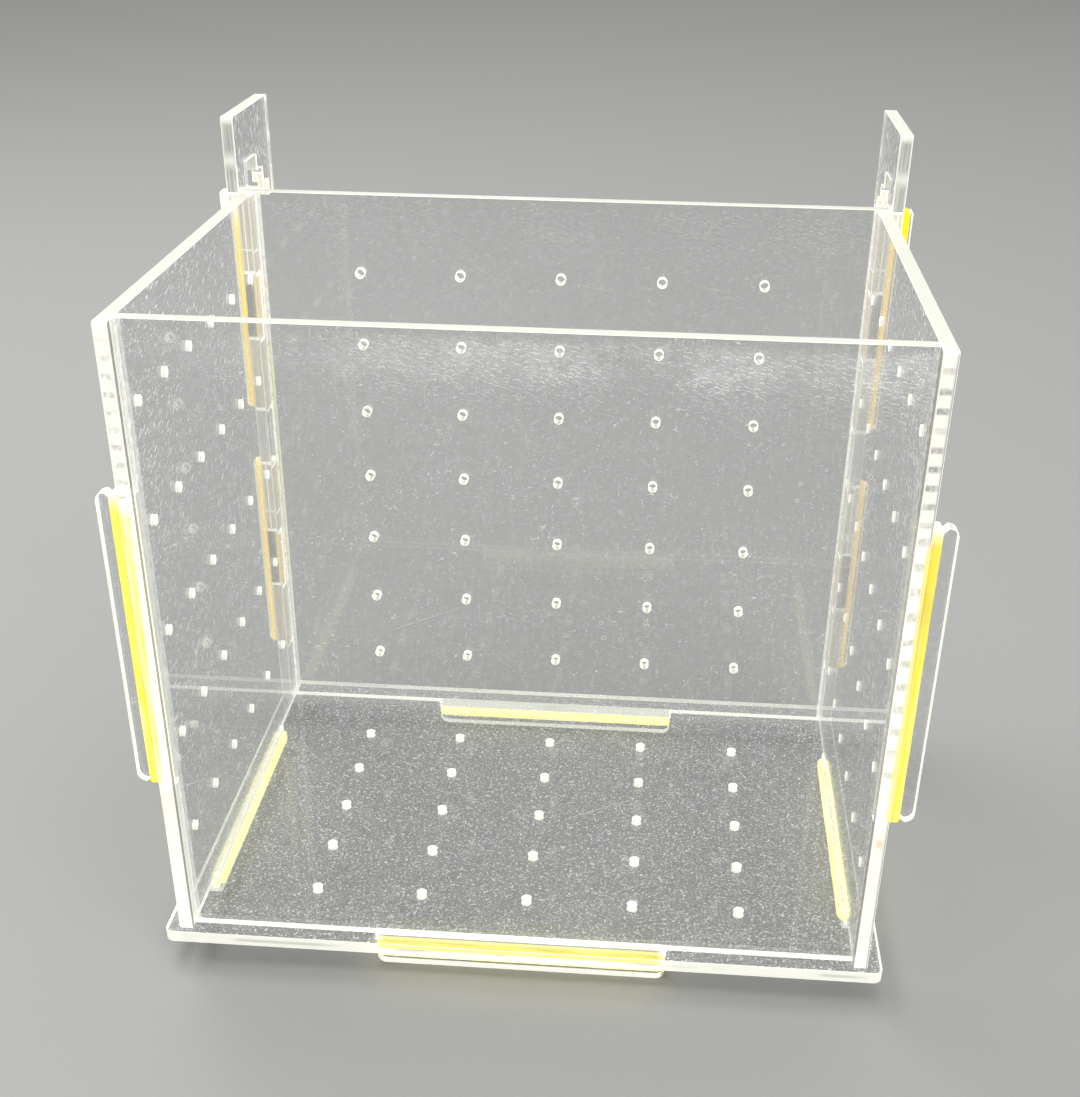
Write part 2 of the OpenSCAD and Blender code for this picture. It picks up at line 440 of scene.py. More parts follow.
def wearMask(tree, kind, top):
    look = dict(zip(wearColumns, wear[kind]))
    place, height = sheetCoords(tree)
    spot = placeOf(tree)

    def faded(value, span, base=0.0):
        return fade(value, wearPattern[span], base)

    patches = noiseAt(tree, "patches", place)
    otherPatches = noiseAt(tree, "otherPatches", place)
    nearTop = times(faded(height, "rowsBegin", top), faded(height, "rowsEnd", top))
    rows = times(nearTop, noiseAt(tree, "rows", place))
    if kind == "front":        # more of them towards the right
        rows = times(rows, faded(spot[0], "moreRows"))
    elif kind == "side":       # bold strokes high up and near the front
        bold = times(faded(spot[1], "boldAhead"), faded(spot[2], "boldAbove"))
        patches, otherPatches = times(patches, bold), times(otherPatches, bold)
    mask = most(
        times(marks(place, "strokes", look["turn"]), patches, look["strokes"]),
        times(marks(place, "crossStrokes", look["turn"]), otherPatches, look["crossStrokes"]),
        times(scaleArcs(tree, place), rows, look["scales"]),
        times(most(marks(place, "specks"), marks(place, "drops")), look["specks"]),
        times(noiseAt(tree, "dust", place), look["dust"]),
        times(wetArcs(tree, place), noiseAt(tree, "clusters", place), look["arcs"]),
        times(driedRings(place), otherPatches, look["rings"]),
        times(marks(place, "runs"), look["runs"]),
        times(most(marks(place, "hairs"), marks(place, "otherHairs")), look["hairs"]))
    if kind == "side":         # clean where the hooks cover it
        mask = times(mask, faded(spot[1], "besideHook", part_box("right_hook")[0].y))
    elif kind == "hook":       # and where the side panel covers the hook
        mask = times(mask, faded(spot[2], "behindPanel", top))
    if kind in seams:
        mask = most(mask, glueLine(tree, kind, spot))
    haze = times(noiseAt(tree, "haze", place), look["haze"])
    if kind == "front":        # dried film along the rim
        film = times(rows, faded(height, "filmBegins", top), noiseAt(tree, "film", place))
        haze = maths("ADD", haze, times(film, wearPattern["film"]))
    return maths("ADD", mask, haze, clamp=True)


seams = {   # span of the glue in mm from the side panels, and how white it is on the left and right
    "front": ((-0.90, -0.1, 0.08), 0.40, 0.12),
    "back": ((-0.75, -0.1, 0.08), 0.80, 0.60),
}
seamFaintest = 0.45


def glueLine(tree, kind, spot):
    span, left, right = seams[kind]
    low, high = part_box(kind + "_panel")
    inner = under(absolute(spot[1]), abs(low.y + high.y) / 2)
    line = strip(absolute(spot[0]), span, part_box("right_panel")[0].x)
    line = times(line, fromTo(over(spot[0], 0.0), left, right))
    return times(line, inner, fromTo(noiseAt(tree, "seam"), seamFaintest, 1.0))


def whiteBothSides(tree, color, glow):   # looks white with the light before or behind it, and gives off a painted glow of its own
    front = fromNode(tree, "ShaderNodeBsdfDiffuse", {"Color": color})
    through = fromNode(tree, "ShaderNodeBsdfTranslucent", {"Color": color})
    own = fromNode(tree, "ShaderNodeEmission", {"Color": color, "Strength": glow})
    return fromNode(tree, "ShaderNodeAddShader", {0: mixShaders(0.5, front, through), 1: own})


cutEdge = {
    "color": (0.99, 0.985, 0.89),
    "cloudColor": (0.74, 0.74, 0.66),
    "cloud": 0.14,
    "coarse": 0.6,        # how much of the cloud is coarse
    "through": 0.35,
    "facing": 0.9,        # how squarely a face has to look up or forward
    "sideways": 0.6,
    "glow": 0.76,
    "topGlow": 0.12,      # rims that face the overhead light
    "holeGlow": 1.15,
    "slotGlow": 1.9,
    "insideGlow": 1.15,   # seen through the sheet, whose faces carry light to its edges
    "roughness": 0.35,
    "jointColor": (0.30, 0.29, 0.275),
    "jointLight": ((0.0, 0.60), (0.55, 1.0)),   # how light, on the right and on the left
    "rungColor": (0.36, 0.355, 0.35),
    "bleedColor": (1.0, 0.88, 0.20),
    "goldColor": (0.74, 0.60, 0.07),
    "paleGold": (0.98, 0.92, 0.30),
    "layerColor": (0.66, 0.61, 0.50),
    "layerAmber": (1.0, 0.82, 0.45),
    "layerGlow": 0.80,
    "lineGlow": 1.7,      # painted bright lines across the back tabs
}

# what shows through the sheets, painted on them: lengths and spans in mm, and shares
showing = {
    "margin": 0.5,                   # past a side panel's inner face
    "besideTab": (-4.2, 0.0, 0.1),   # from the back panel's front, and so the next one
    "tabBorder": (-1.1, 0.0, 0.05),
    "tabShare": 0.80,
    "corner": 1.4,                   # from a side panel's front
    "glueCloud": 0.25,
    "share": 0.85,
    "paleGold": (-1.9, -1.4, 0.0),   # from the front panel's front, and so the next one
    "jointColor": (-0.9, -0.6, 0.0),
}


def innerFace(place):
    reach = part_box("right_panel")[0].x + showing["margin"] * mm
    return under(absolute(place[0]), reach)


# painted: beside the back tabs the side panels show the bands as seen through them, beige, and on the left
# amber in the windows
def bandThroughSide(tree, shader, top):
    place = placeOf(tree)
    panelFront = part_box("back_panel")[0].y
    window, lines, tab, _ = backWindows(place[2])
    beside = strip(place[1], showing["besideTab"], panelFront)
    share = times(innerFace(place), beside, tab, under(place[2], top), showing["tabShare"])
    window = times(window, under(place[0], 0.0))
    border = strip(place[1], showing["tabBorder"], panelFront)
    lines = most(lines, times(window, border))
    color = mixColors(window, cutEdge["layerColor"], cutEdge["layerAmber"])
    color = mixColors(lines, color, cutEdge["color"])
    glow = fromTo(lines, cutEdge["layerGlow"], cutEdge["lineGlow"])
    return mixShaders(share, shader, edgeShader(color, glow))


# in front of the front panel the side panels' inner faces carry a glue seam with a painted glow, pale on the
# left and greyer on the right
def glueAndGlowStrip(tree, shader):
    place = placeOf(tree)
    left = under(place[0], 0.0)
    cloud = times(noiseAt(tree, "glue"), showing["glueCloud"])
    pale = mixColors(cloud, cutEdge["color"], cutEdge["cloudColor"])
    color = mixColors(left, cutEdge["jointColor"], pale)
    corner = under(place[1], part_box("right_panel")[0].y + showing["corner"] * mm)
    color = mixColors(times(corner, left), color, cutEdge["jointColor"])
    ahead = under(place[1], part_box("front_panel")[0].y)
    share = times(innerFace(place), ahead, showing["share"])
    return mixShaders(share, shader, edgeShader(color, cutEdge["glow"]))


def alongFoot(place, inset, soft):   # 1 along the front foot, in mm from the ends of its band
    low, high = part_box("band_foot_front")
    return between(place[0], low.x + inset * mm, high.x - inset * mm, soft * mm)


# painted: the front foot's band as seen through the lip of the plate, in gold streaks
def bandThroughPlate(tree, shader):
    low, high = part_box("bottom_plate")
    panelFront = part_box("front_panel")[0].y
    place = placeOf(tree)
    color = mixColors(noiseAt(tree, "goldStreaks"), cutEdge["goldColor"], cutEdge["bleedColor"])
    for tone in ("paleGold", "jointColor"):
        color = mixColors(fade(place[1], showing[tone], panelFront), color, cutEdge[tone])
    upper = over(place[2], (low.z + high.z) / 2)
    ahead = under(place[1], panelFront)
    share = times(alongFoot(place, *footEdge["along"]), ahead, upper, showing["share"])
    return mixShaders(share, shader, edgeShader(color, cutEdge["topGlow"]))


def clearMaterial(kind, top):
    material, tree = newMaterial(kind + "Acrylic")
    glass = fromNode(tree, "ShaderNodeBsdfPrincipled", {
        "Base Color": (*acrylic["tint"], 1), "Roughness": 0.0, "IOR": acrylic["ior"],
        "Transmission Weight": 1.0})
    scuff = whiteBothSides(tree, (*acrylic["scuffColor"], 1), acrylic["scuffGlow"])
    scuffed = mixShaders(wearMask(tree, kind, top), glass, scuff)
    if kind == "side":
        scuffed = glueAndGlowStrip(tree, bandThroughSide(tree, scuffed, top))
    elif kind == "plate":
        scuffed = bandThroughPlate(tree, scuffed)
    return finished(material, lampsPassThrough(scuffed, acrylic["shadowTint"]))


# painted light: every cut edge glows with its own light, standing in for the light the sheet carries to it;
# less on rims that face up, more when seen from inside the sheet
def edgeShader(color, glow):
    tree = treeOf(color)
    up = over(normalOf(tree)[2], cutEdge["facing"])
    inside = addNode(tree, "ShaderNodeNewGeometry").outputs["Backfacing"]
    glow = fromTo(up, glow, cutEdge["topGlow"])
    glow = fromTo(inside, glow, cutEdge["insideGlow"])
    frost = fromNode(tree, "ShaderNodeBsdfPrincipled", {
        "Base Color": color, "Roughness": cutEdge["roughness"], "IOR": acrylic["ior"],
        "Emission Color": color, "Emission Strength": glow})
    through = fromNode(tree, "ShaderNodeBsdfTranslucent", {"Color": color})
    return mixShaders(cutEdge["through"], frost, through)


def cloudyEdge(tree):
    coarse = times(noiseAt(tree, "cloud"), cutEdge["coarse"])
    fine = times(noiseAt(tree, "fineCloud"), 1 - cutEdge["coarse"])
    share = times(maths("ADD", coarse, fine), cutEdge["cloud"])
    return mixColors(share, cutEdge["color"], cutEdge["cloudColor"])


def facesFront(tree):
    return under(normalOf(tree)[1], -cutEdge["facing"])


def glowingEdge(name, glow):
    material, tree = newMaterial(name)
    return finished(material, edgeShader(cloudyEdge(tree), glow))


def jointedEdgeMaterial(reach):   # the ends that stand against the side panels are greyer
    material, tree = newMaterial("jointedEdge")
    across = placeOf(tree)[0]
    sideways = over(absolute(normalOf(tree)[0]), cutEdge["sideways"])
    joint = times(sideways, under(absolute(across), reach))
    left = under(across, 0.0)
    least, greatest = [fromTo(left, *ends) for ends in zip(*cutEdge["jointLight"])]
    lightness = fromTo(noiseAt(tree, "jointHatch"), least, greatest)
    grey = mixColors(lightness, cutEdge["jointColor"], cutEdge["color"])
    return finished(material, edgeShader(mixColors(joint, cloudyEdge(tree), grey), cutEdge["glow"]))


footEdge = {              # lengths and spans in mm, and shares
    "inset": 1.0,
    "core": (-0.35, 0.45, 0.15),
    "coreShare": 0.45,
    "gold": (0.60, 0.66),           # of the plate's thickness, and so the next one
    "goldLine": (0.53, 0.60, 0.03),
    "lineShare": 0.55,
    "along": (1.0, 1.0),            # inset from the band's ends and softness, and so the next one
    "aroundSlot": (-1.0, 0.1),
    "behindBand": 2.0,
}


# painted: the plate's rim shows the yellow of the front foot's band as seen through it, and the walls of its
# slots a painted shine
def plateEdgeMaterial():
    material, tree = newMaterial("plateEdge")
    low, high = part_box("bottom_plate")
    place = placeOf(tree)
    inset = footEdge["inset"] * mm
    within = times(under(absolute(place[0]), high.x - inset),
                   over(place[1], low.y + inset), under(place[1], high.y - inset))
    # greyer in patches along the middle of the plate's edge
    core = strip(place[2], footEdge["core"], (low.z + high.z) / 2)
    core = times(core, noiseAt(tree, "greyerMiddle"), footEdge["coreShare"])
    color = mixColors(core, cloudyEdge(tree), cutEdge["rungColor"])
    beside = times(alongFoot(place, *footEdge["along"]), facesFront(tree),
                   under(place[1], low.y + inset))
    share = maths("DIVIDE", minus(place[2], low.z), high.z - low.z)
    color = mixColors(times(beside, remap(share, *footEdge["gold"])), color, cutEdge["paleGold"])
    line = times(beside, between(share, *footEdge["goldLine"]), footEdge["lineShare"])
    color = mixColors(line, color, cutEdge["jointColor"])
    glow = fromTo(within, cutEdge["glow"], cutEdge["holeGlow"])
    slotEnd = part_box("band_foot_front")[1].y + footEdge["behindBand"] * mm
    atSlot = times(alongFoot(place, *footEdge["aroundSlot"]), under(place[1], slotEnd))
    glow = fromTo(times(within, atSlot), glow, cutEdge["slotGlow"])
    return finished(material, edgeShader(color, glow))


sideEdge = {              # spans in mm, or as shares of the sheet's thickness where they run across the edge
    "rungs": {            # pitch of the grey bars, how dark above and below, outer side's shade, how solid
        "left_panel": (3.5, 0.55, 0.22, 0.0, 0.0),
        "right_panel": (3.72, 0.95, 0.62, 0.80, 0.5),
    },
    "lowerPitch": 1.42,   # times the pitch, below the top of the band
    "bar": (0.27, 0.39),
    "lowest": (6, 10, 0.0),         # from the lower end of the band
    "middle": (0.16, 0.90, 0.05),
    "clearTop": 2.0,
    "outside": (0.17, 0.11),
    "bleed": {"left_panel": (0.34, 0.70), "right_panel": (0.30, 0.24)},   # share of the edge, bottom and top
    "bleedSoft": 0.07,
    "besideBand": (1.5, 3.0, 1.5),  # inset at the bottom and the top, and softness
    "palestLine": 0.30,
    "amberSpotColor": (0.92, 0.55, 0.16),
    "amberSpot": (-5.2, -3.4, 0.5),
    "amberSpotAcross": (0.25, 0.75, 0.15),
    "amberSpotShare": 0.55,
    "brighter": (60, 10, 0.15),     # painted glow that grows towards the bottom: from one height to the other, and by how much
}


# the front edges of the side panels: grey bars in a row, and a painted shine of the yellow band that lies
# beside them
def sideEdgeMaterial(node):
    material, tree = newMaterial(node + "Edge")
    low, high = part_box(node)
    place = placeOf(tree)
    front = facesFront(tree)
    fromInside = minus(absolute(place[0]), min(abs(low.x), abs(high.x)))
    fromOutside = minus(1.0, maths("DIVIDE", fromInside, high.x - low.x))
    pitch, dark, lowerDark, outerShade, solid = sideEdge["rungs"][node]
    tabLow, tabHigh = [corner.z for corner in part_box("band_front_" + node.split("_")[0])]
    fromTop = minus(high.z, place[2])
    lower = under(place[2], tabHigh)
    spread = fromTo(lower, pitch * mm, sideEdge["lowerPitch"] * pitch * mm)
    row = maths("ADD", maths("DIVIDE", fromTop, spread), noiseAt(tree, "rungDrift"))
    bar = remap(gap(maths("FRACT", row), 0.5), *sideEdge["bar"])
    hatch = fromTo(noiseAt(tree, "rungHatch"), solid, 1.0)
    middle = between(fromOutside, *sideEdge["middle"])
    middle = times(middle, over(fromTop, sideEdge["clearTop"] * mm))
    dark = times(fromTo(lower, dark, lowerDark), fade(place[2], sideEdge["lowest"], tabLow))
    rungs = times(bar, noiseAt(tree, "rungStrength"), middle, hatch, front, dark)
    color = mixColors(rungs, cloudyEdge(tree), cutEdge["rungColor"])
    outside = times(remap(fromOutside, *sideEdge["outside"]), front, outerShade)
    color = mixColors(outside, color, cutEdge["rungColor"])
    reach = remap(place[2], tabLow, tabHigh, *sideEdge["bleed"][node])
    bleed = remap(minus(reach, fromOutside), -sideEdge["bleedSoft"], sideEdge["bleedSoft"])
    start, end, soft = [length * mm for length in sideEdge["besideBand"]]
    beside = between(place[2], tabLow + start, tabHigh - end, soft)
    lines = fromTo(noiseAt(tree, "bleedLines"), sideEdge["palestLine"], 1.0)
    color = mixColors(times(bleed, beside, front, lines), color, cutEdge["bleedColor"])
    if node == "right_panel":  # a small amber spot just under the band
        amberSpot = times(strip(place[2], sideEdge["amberSpot"], tabLow), front,
                      between(fromOutside, *sideEdge["amberSpotAcross"]), sideEdge["amberSpotShare"])
        color = mixColors(amberSpot, color, sideEdge["amberSpotColor"])
    color = slotAmber(color, place, front)
    # painted glow: more towards the bottom, and as strong as in the holes under the plate
    underPlate = under(place[2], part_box("bottom_plate")[0].z)
    start, end, extra = sideEdge["brighter"]
    glow = remap(place[2], start * mm, end * mm, cutEdge["glow"], cutEdge["glow"] + extra)
    glow = fromTo(underPlate, glow, cutEdge["holeGlow"])
    return finished(material, edgeShader(color, glow))


hookLook = {              # spans in mm
    "color": (0.50, 0.50, 0.485),
    "lowerColor": (0.66, 0.65, 0.61),
    "amberColor": (0.66, 0.59, 0.45),
    "windowColor": (0.30, 0.30, 0.27),
    "windowAmber": (0.95, 0.78, 0.40),
    "window": (0.345, 0.645),      # share of a back tab's length, from its lower end, that stays clear
    "windowSoft": 0.1,
    "thinLine": (5.45, 5.75, 0.1),   # above the window
    "lines": (-0.45, 0.45, 0.15),
    "tabSoft": 0.3,
    "amber": (-1.0, 0.2, 0.05),    # beyond the back panel's faces
    "border": (0.50, 0.25, 0.0),
    "streaks": 0.55,
    "patch": (6, 9, 1.2),          # painted light, above the walls
    "cap": (-2.2, -1.2, 0.0),      # painted light, from the hook's top
    "seam": (1.5, 1.8, 0.1),
    "innerSide": 0.7,
    "white": 0.95,
    "glow": (0.95, 0.532),         # elsewhere, and on the front above the walls
}


# the clear middle of each back tab, the lines round it, the whole tab and the part above the middle
def backWindows(height):
    parts = []
    for band in ("band_back_left_upper", "band_back_left_lower"):
        low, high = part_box(band)
        start, end = [low.z + share * (high.z - low.z) for share in hookLook["window"]]
        lines = [strip(height, hookLook["lines"], edge) for edge in (start, end, high.z, low.z)]
        window = between(height, start, end, hookLook["windowSoft"] * mm)
        tab, upper = [between(height, foot, high.z, hookLook["tabSoft"] * mm) for foot in (low.z, end)]
        parts.append((window, most(strip(height, hookLook["thinLine"], end), *lines), tab, upper))
    return [most(a, b) for a, b in zip(*parts)]


def hookEdgeMaterial(top):
    material, tree = newMaterial("hookEdge")
    low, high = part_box("right_hook")
    place = placeOf(tree)
    fromInside = minus(absolute(place[0]), low.x)
    fromBorder = maths("MINIMUM", fromInside, minus(high.x - low.x, fromInside))
    above = over(place[2], top)
    below = minus(1.0, above)
    window, lines, tab, upperPart = backWindows(place[2])
    window = times(window, below)
    # the white along the borders, above the walls and under the top is painted light
    white = most(fade(fromBorder, hookLook["border"]),
                 times(noiseAt(tree, "hookStreaks"), hookLook["streaks"]),
                 strip(place[2], hookLook["patch"], top), fade(place[2], hookLook["cap"], high.z))
    white = times(white, minus(1.0, window))
    seam = times(strip(fromInside, hookLook["seam"]), upperPart)
    lines = times(most(lines, seam), below)
    glassy = mixColors(above, hookLook["lowerColor"], hookLook["color"])
    innerSide = times(window, under(fromInside, hookLook["innerSide"] * mm))
    # painted: the bands' amber as seen through the hook where the tabs are, painted shade in the clear
    # windows, and amber on their inner side
    for share, tone in ((times(tab, below), hookLook["amberColor"]), (window, hookLook["windowColor"]),
                        (innerSide, cutEdge["layerAmber"]),
                        (times(most(white, lines), hookLook["white"]), cutEdge["color"])):
        glassy = mixColors(share, glassy, tone)
    front = facesFront(tree)
    color = slotAmber(mixColors(front, cloudyEdge(tree), glassy), place, front)
    glow = fromTo(times(front, above), *hookLook["glow"])
    glow = fromTo(times(lines, front), glow, cutEdge["lineGlow"])
    return finished(material, edgeShader(color, glow))


# painted: the far run of each back band, as seen through the acrylic, on the slots' walls beside a window
def slotAmber(color, place, front):
    low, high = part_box("back_panel")
    start, end, soft = [length * mm for length in hookLook["amber"]]
    beside = between(place[1], low.y + start, high.y + end, soft)
    share = times(backWindows(place[2])[0], beside, minus(1.0, front))
    return mixColors(share, color, hookLook["windowAmber"])


flatEnough = 1e-6                     # m, when points are taken to lie on one face
smallHole = 4 * mm                    # loops narrower than this are drilled holes
mergeWithin = 0.002 * mm
sheetAxes = {0: (1, 2, 0), 1: (0, 2, 1), 2: (0, 1, 2)}   # across, along and through, by the way a sheet faces


def flatLoops(node, axis):
    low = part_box(node)[0][axis]
    shape = bmesh.new()
    shape.from_mesh(frame["nodes"][node].data)
    bmesh.ops.remove_doubles(shape, verts=shape.verts, dist=flatEnough)
    flat = {f for f in shape.faces if all(abs(v.co[axis] - low) < flatEnough for v in f.verts)}
    rim = [e for e in shape.edges if sum(f in flat for f in e.link_faces) == 1]
    joined = {}
    for edge in rim:
        a, b = edge.verts
        joined.setdefault(a, []).append(b)
        joined.setdefault(b, []).append(a)
    loops = []
    left = set(joined)
    while left:
        loop = [min(left, key=lambda v: v.index)]
        left.discard(loop[0])
        while True:
            ahead = [v for v in joined[loop[-1]] if v in left]
            if not ahead:
                break
            loop.append(ahead[0])
            left.discard(ahead[0])
        loops.append([v.co.copy() for v in loop])
    shape.free()
    return loops


def signedArea(points):
    return sum(a.x * b.y - b.x * a.y for a, b in zip(points, points[1:] + points[:1])) / 2


# the sheet's outline and slots as loops of edges, and each drilled hole as one loose point
def sheetBase(node, axis):
    across, along, _ = sheetAxes[axis]
    loops = [[Vector((p[across], p[along])) for p in loop] for loop in flatLoops(node, axis)]
    loops.sort(key=lambda points: -abs(signedArea(points)))
    verts, edges, holeSize = [], [], 0.0
    for i, points in enumerate(loops):
        size = max((p - points[0]).length for p in points)
        if i and size < smallHole:
            verts.append((*(sum(points, Vector((0, 0))) / len(points)), 0))
            holeSize = size
            continue
        if (signedArea(points) < 0) != (i > 0):
            points.reverse()
        first = len(verts)
        verts += [(p.x, p.y, 0) for p in points]
        edges += [(first + k, first + (k + 1) % len(points)) for k in range(len(points))]
    mesh = bpy.data.meshes.new(node)
    mesh.from_pydata(verts, edges, [])
    return mesh, holeSize


def geometryTree(name, inputs):   # label of each input: its kind
    tree = bpy.data.node_groups.new(name, "GeometryNodeTree")
    for label, kind in {"Geometry": "Geometry", **inputs}.items():
        tree.interface.new_socket(label, in_out="INPUT", socket_type="NodeSocket" + kind)
    tree.interface.new_socket("Geometry", in_out="OUTPUT", socket_type="NodeSocketGeometry")
    return tree, addNode(tree, "NodeGroupInput").outputs


def join(*parts):
    node = addNode(treeOf(*parts), "GeometryNodeJoinGeometry")
    for part in parts:
        node.id_data.links.new(part, node.inputs[0])
    return node.outputs[0]


def scaled(value, scale):
    return fromNode(treeOf(value), "ShaderNodeVectorMath", {0: value, "Scale": scale}, operation="SCALE")


def uprightNormals(curve):
    return fromNode(treeOf(curve), "GeometryNodeSetCurveNormal", {"Curve": curve}, mode="Z_UP")


def painted(geometry, material):
    return fromNode(treeOf(geometry), "GeometryNodeSetMaterial", {"Geometry": geometry, "Material": material})


def realized(geometry):
    return fromNode(treeOf(geometry), "GeometryNodeRealizeInstances", {"Geometry": geometry})


def moved(geometry, height):
    up = vector(z=height)
    return fromNode(treeOf(geometry), "GeometryNodeTransform", {"Geometry": geometry, "Translation": up})


def cutSheetTree():
    tree, given = geometryTree("cutSheet", {
        "Thickness": "Float", "Chamfer": "Float", "Air Gap": "Float", "Hole Diameter": "Float",
        "Hole Segments": "Int", "Face Material": "Material", "Edge Material": "Material",
        "Hole Material": "Material"})
    outline = fromNode(tree, "GeometryNodeMeshToCurve", {"Mesh": given["Geometry"]})
    touching = addNode(tree, "GeometryNodeInputMeshVertexNeighbors").outputs["Vertex Count"]
    loose = fromNode(tree, "FunctionNodeCompare", {"A": touching, "B": 0}, data_type="INT", operation="EQUAL")
    centres = fromNode(tree, "GeometryNodeMeshToPoints", {"Mesh": given["Geometry"], "Selection": loose})
    circle = fromNode(tree, "GeometryNodeCurvePrimitiveCircle", {
        "Resolution": given["Hole Segments"], "Radius": times(given["Hole Diameter"], 0.5)})
    turned = fromNode(tree, "GeometryNodeReverseCurve", {"Curve": circle})
    drilled = realized(fromNode(tree, "GeometryNodeInstanceOnPoints", {
        "Points": centres, "Instance": turned}))

    half = minus(times(given["Thickness"], 0.5), given["Air Gap"])
    inner = minus(half, given["Chamfer"])
    outX = times(given["Air Gap"], -1.0)
    inX = minus(outX, given["Chamfer"])
    corners = [vector(inX, times(half, -1.0)), vector(outX, times(inner, -1.0)),
               vector(outX, inner), vector(inX, half)]
    profile = join(*[fromNode(tree, "GeometryNodeCurvePrimitiveLine", {"Start": a, "End": b})
                     for a, b in zip(corners, corners[1:])])

    walls = []
    for curve, material in ((outline, given["Edge Material"]), (drilled, given["Hole Material"])):
        wall = fromNode(tree, "GeometryNodeCurveToMesh", {
            "Curve": uprightNormals(curve), "Profile Curve": profile})
        walls.append(painted(wall, material))

    rims = uprightNormals(join(outline, drilled))
    inward = scaled(fromNode(tree, "GeometryNodeInputNormal"), inX)
    inside = fromNode(tree, "GeometryNodeSetPosition", {"Geometry": rims, "Offset": inward})
    face = fromNode(tree, "GeometryNodeFillCurve", {"Curve": inside})
    face = painted(face, given["Face Material"])
    bottom = fromNode(tree, "GeometryNodeFlipFaces", {"Mesh": moved(face, times(half, -1.0))})
    sheet = fromNode(tree, "GeometryNodeMergeByDistance", {
        "Geometry": join(moved(face, half), bottom, *walls), "Distance": mergeWithin})
    sheet = fromNode(tree, "GeometryNodeSetShadeSmooth", {"Geometry": sheet, "Shade Smooth": False})
    addNode(tree, "NodeGroupOutput", {0: realized(sheet)})
    return tree


def grow(name, mesh, tree, values):
    worker = bpy.data.objects.new(name + "Maker", mesh)
    scene.collection.objects.link(worker)
    modifier = worker.modifiers.new("grow", "NODES")
    modifier.node_group = tree
    keys = {item.name: item.identifier for item in tree.interface.items_tree if item.in_out == "INPUT"}
    for label, value in values.items():
        modifier[keys[label]] = value
    bpy.context.view_layer.update()
    ready = worker.evaluated_get(bpy.context.evaluated_depsgraph_get())
    made = bpy.data.meshes.new_from_object(ready)
    bpy.data.objects.remove(worker)
    made.name = name
    return made


def addPiece(name, mesh, *nodes, slot):
    piece = bpy.data.objects.new(name, mesh)
    scene.collection.objects.link(piece)
    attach(piece, "root")
    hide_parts(*nodes)
    return piece


def placeByAxes(mesh, axes, centre):   # which of the part's axes the mesh's own x, y and z lie along
    turned = Matrix.Diagonal((0, 0, 0, 1))
    for column, axis in enumerate(axes):
        turned[axis][column] = 1
    if turned.to_3x3().determinant() < 0:
        turned[axes[2]][2] = -1
    mesh.transform(Matrix.Translation(centre) @ turned)


def makeSheet(node, axis, tree, materials, slot):
    low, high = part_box(node)
    base, holeSize = sheetBase(node, axis)
    mesh = grow(node, base, tree, {
        "Thickness": high[axis] - low[axis], "Chamfer": acrylic["chamfer"] * mm,
        "Air Gap": acrylic["airGap"] * mm, "Hole Diameter": holeSize,
        "Hole Segments": acrylic["holeSegments"], **materials})
    centre = [0, 0, 0]
    centre[axis] = (low[axis] + high[axis]) / 2
    placeByAxes(mesh, sheetAxes[axis], centre)
    check = bmesh.new()
    check.from_mesh(mesh)
    print(node, "faces", len(mesh.polygons), "volume mm3", round(check.calc_volume(signed=True) / mm ** 3, 1),
          "open edges", sum(not e.is_manifold for e in check.edges))
    check.free()
    return addPiece(node + "_sheet", mesh, node, slot=slot)


rubber = {
    "tones": {            # deep, usual and pale color of each kind of band, and how much it glows
        "front": ((1.0, 0.86, 0.02), (1.0, 0.94, 0.11), (1.0, 0.99, 0.52), 0.52),
        "back": ((1.0, 0.74, 0.05), (1.0, 0.82, 0.13), (1.0, 0.90, 0.36), 0.92),
        "foot": ((1.0, 0.90, 0.28), (1.0, 0.96, 0.45), (1.0, 1.0, 0.75), 0.95),
    },
    "stretch": 0.03,      # of the noises along the loop
    "deepShare": 0.35,
    "lit": (-3.5, 0.0, 0.0),     # mm from the top of the front bands that get a painted highlight
    "litHighlight": (1.0, 0.99, 0.82),
    "paler": (-45, -20, 0.0),    # on the left, from the same top
    "lemon": (0.93, 0.93, 0.22),
    "lemonShare": 0.75,
    "golden": (-48, -12, 0.0),   # and on the right
    "gold": (0.99, 0.78, 0.01),
    "goldShare": 0.50,
    "backTop": (-9, -4, 0.0),    # from the top of the walls
    "vivid": (0.95, 0.82, 0.01),
    "faded": (1.0, 0.88, 0.46),
    "fadedShare": 0.5,
    "bump": 0.3,
    "bumpDepth": 0.05,           # mm
    "roughness": 0.42,
    "through": 0.35,
    "strands": {"band_front_right": 1},   # this one lies flat, the others in two strands
    "usualStrands": 2,
    "bend": 0.55,         # radius at the loop's corners, in thicknesses
    "bendSteps": 6,
    "wobble": 0.16,       # mm
    "wobbleScale": 110.0,
    "spacing": 0.7,       # mm between rings along the loop
    "filled": 0.97,       # of a strand's share of the width
    "rounding": 0.3,      # of a strand's width
    "roundSteps": 3,
}


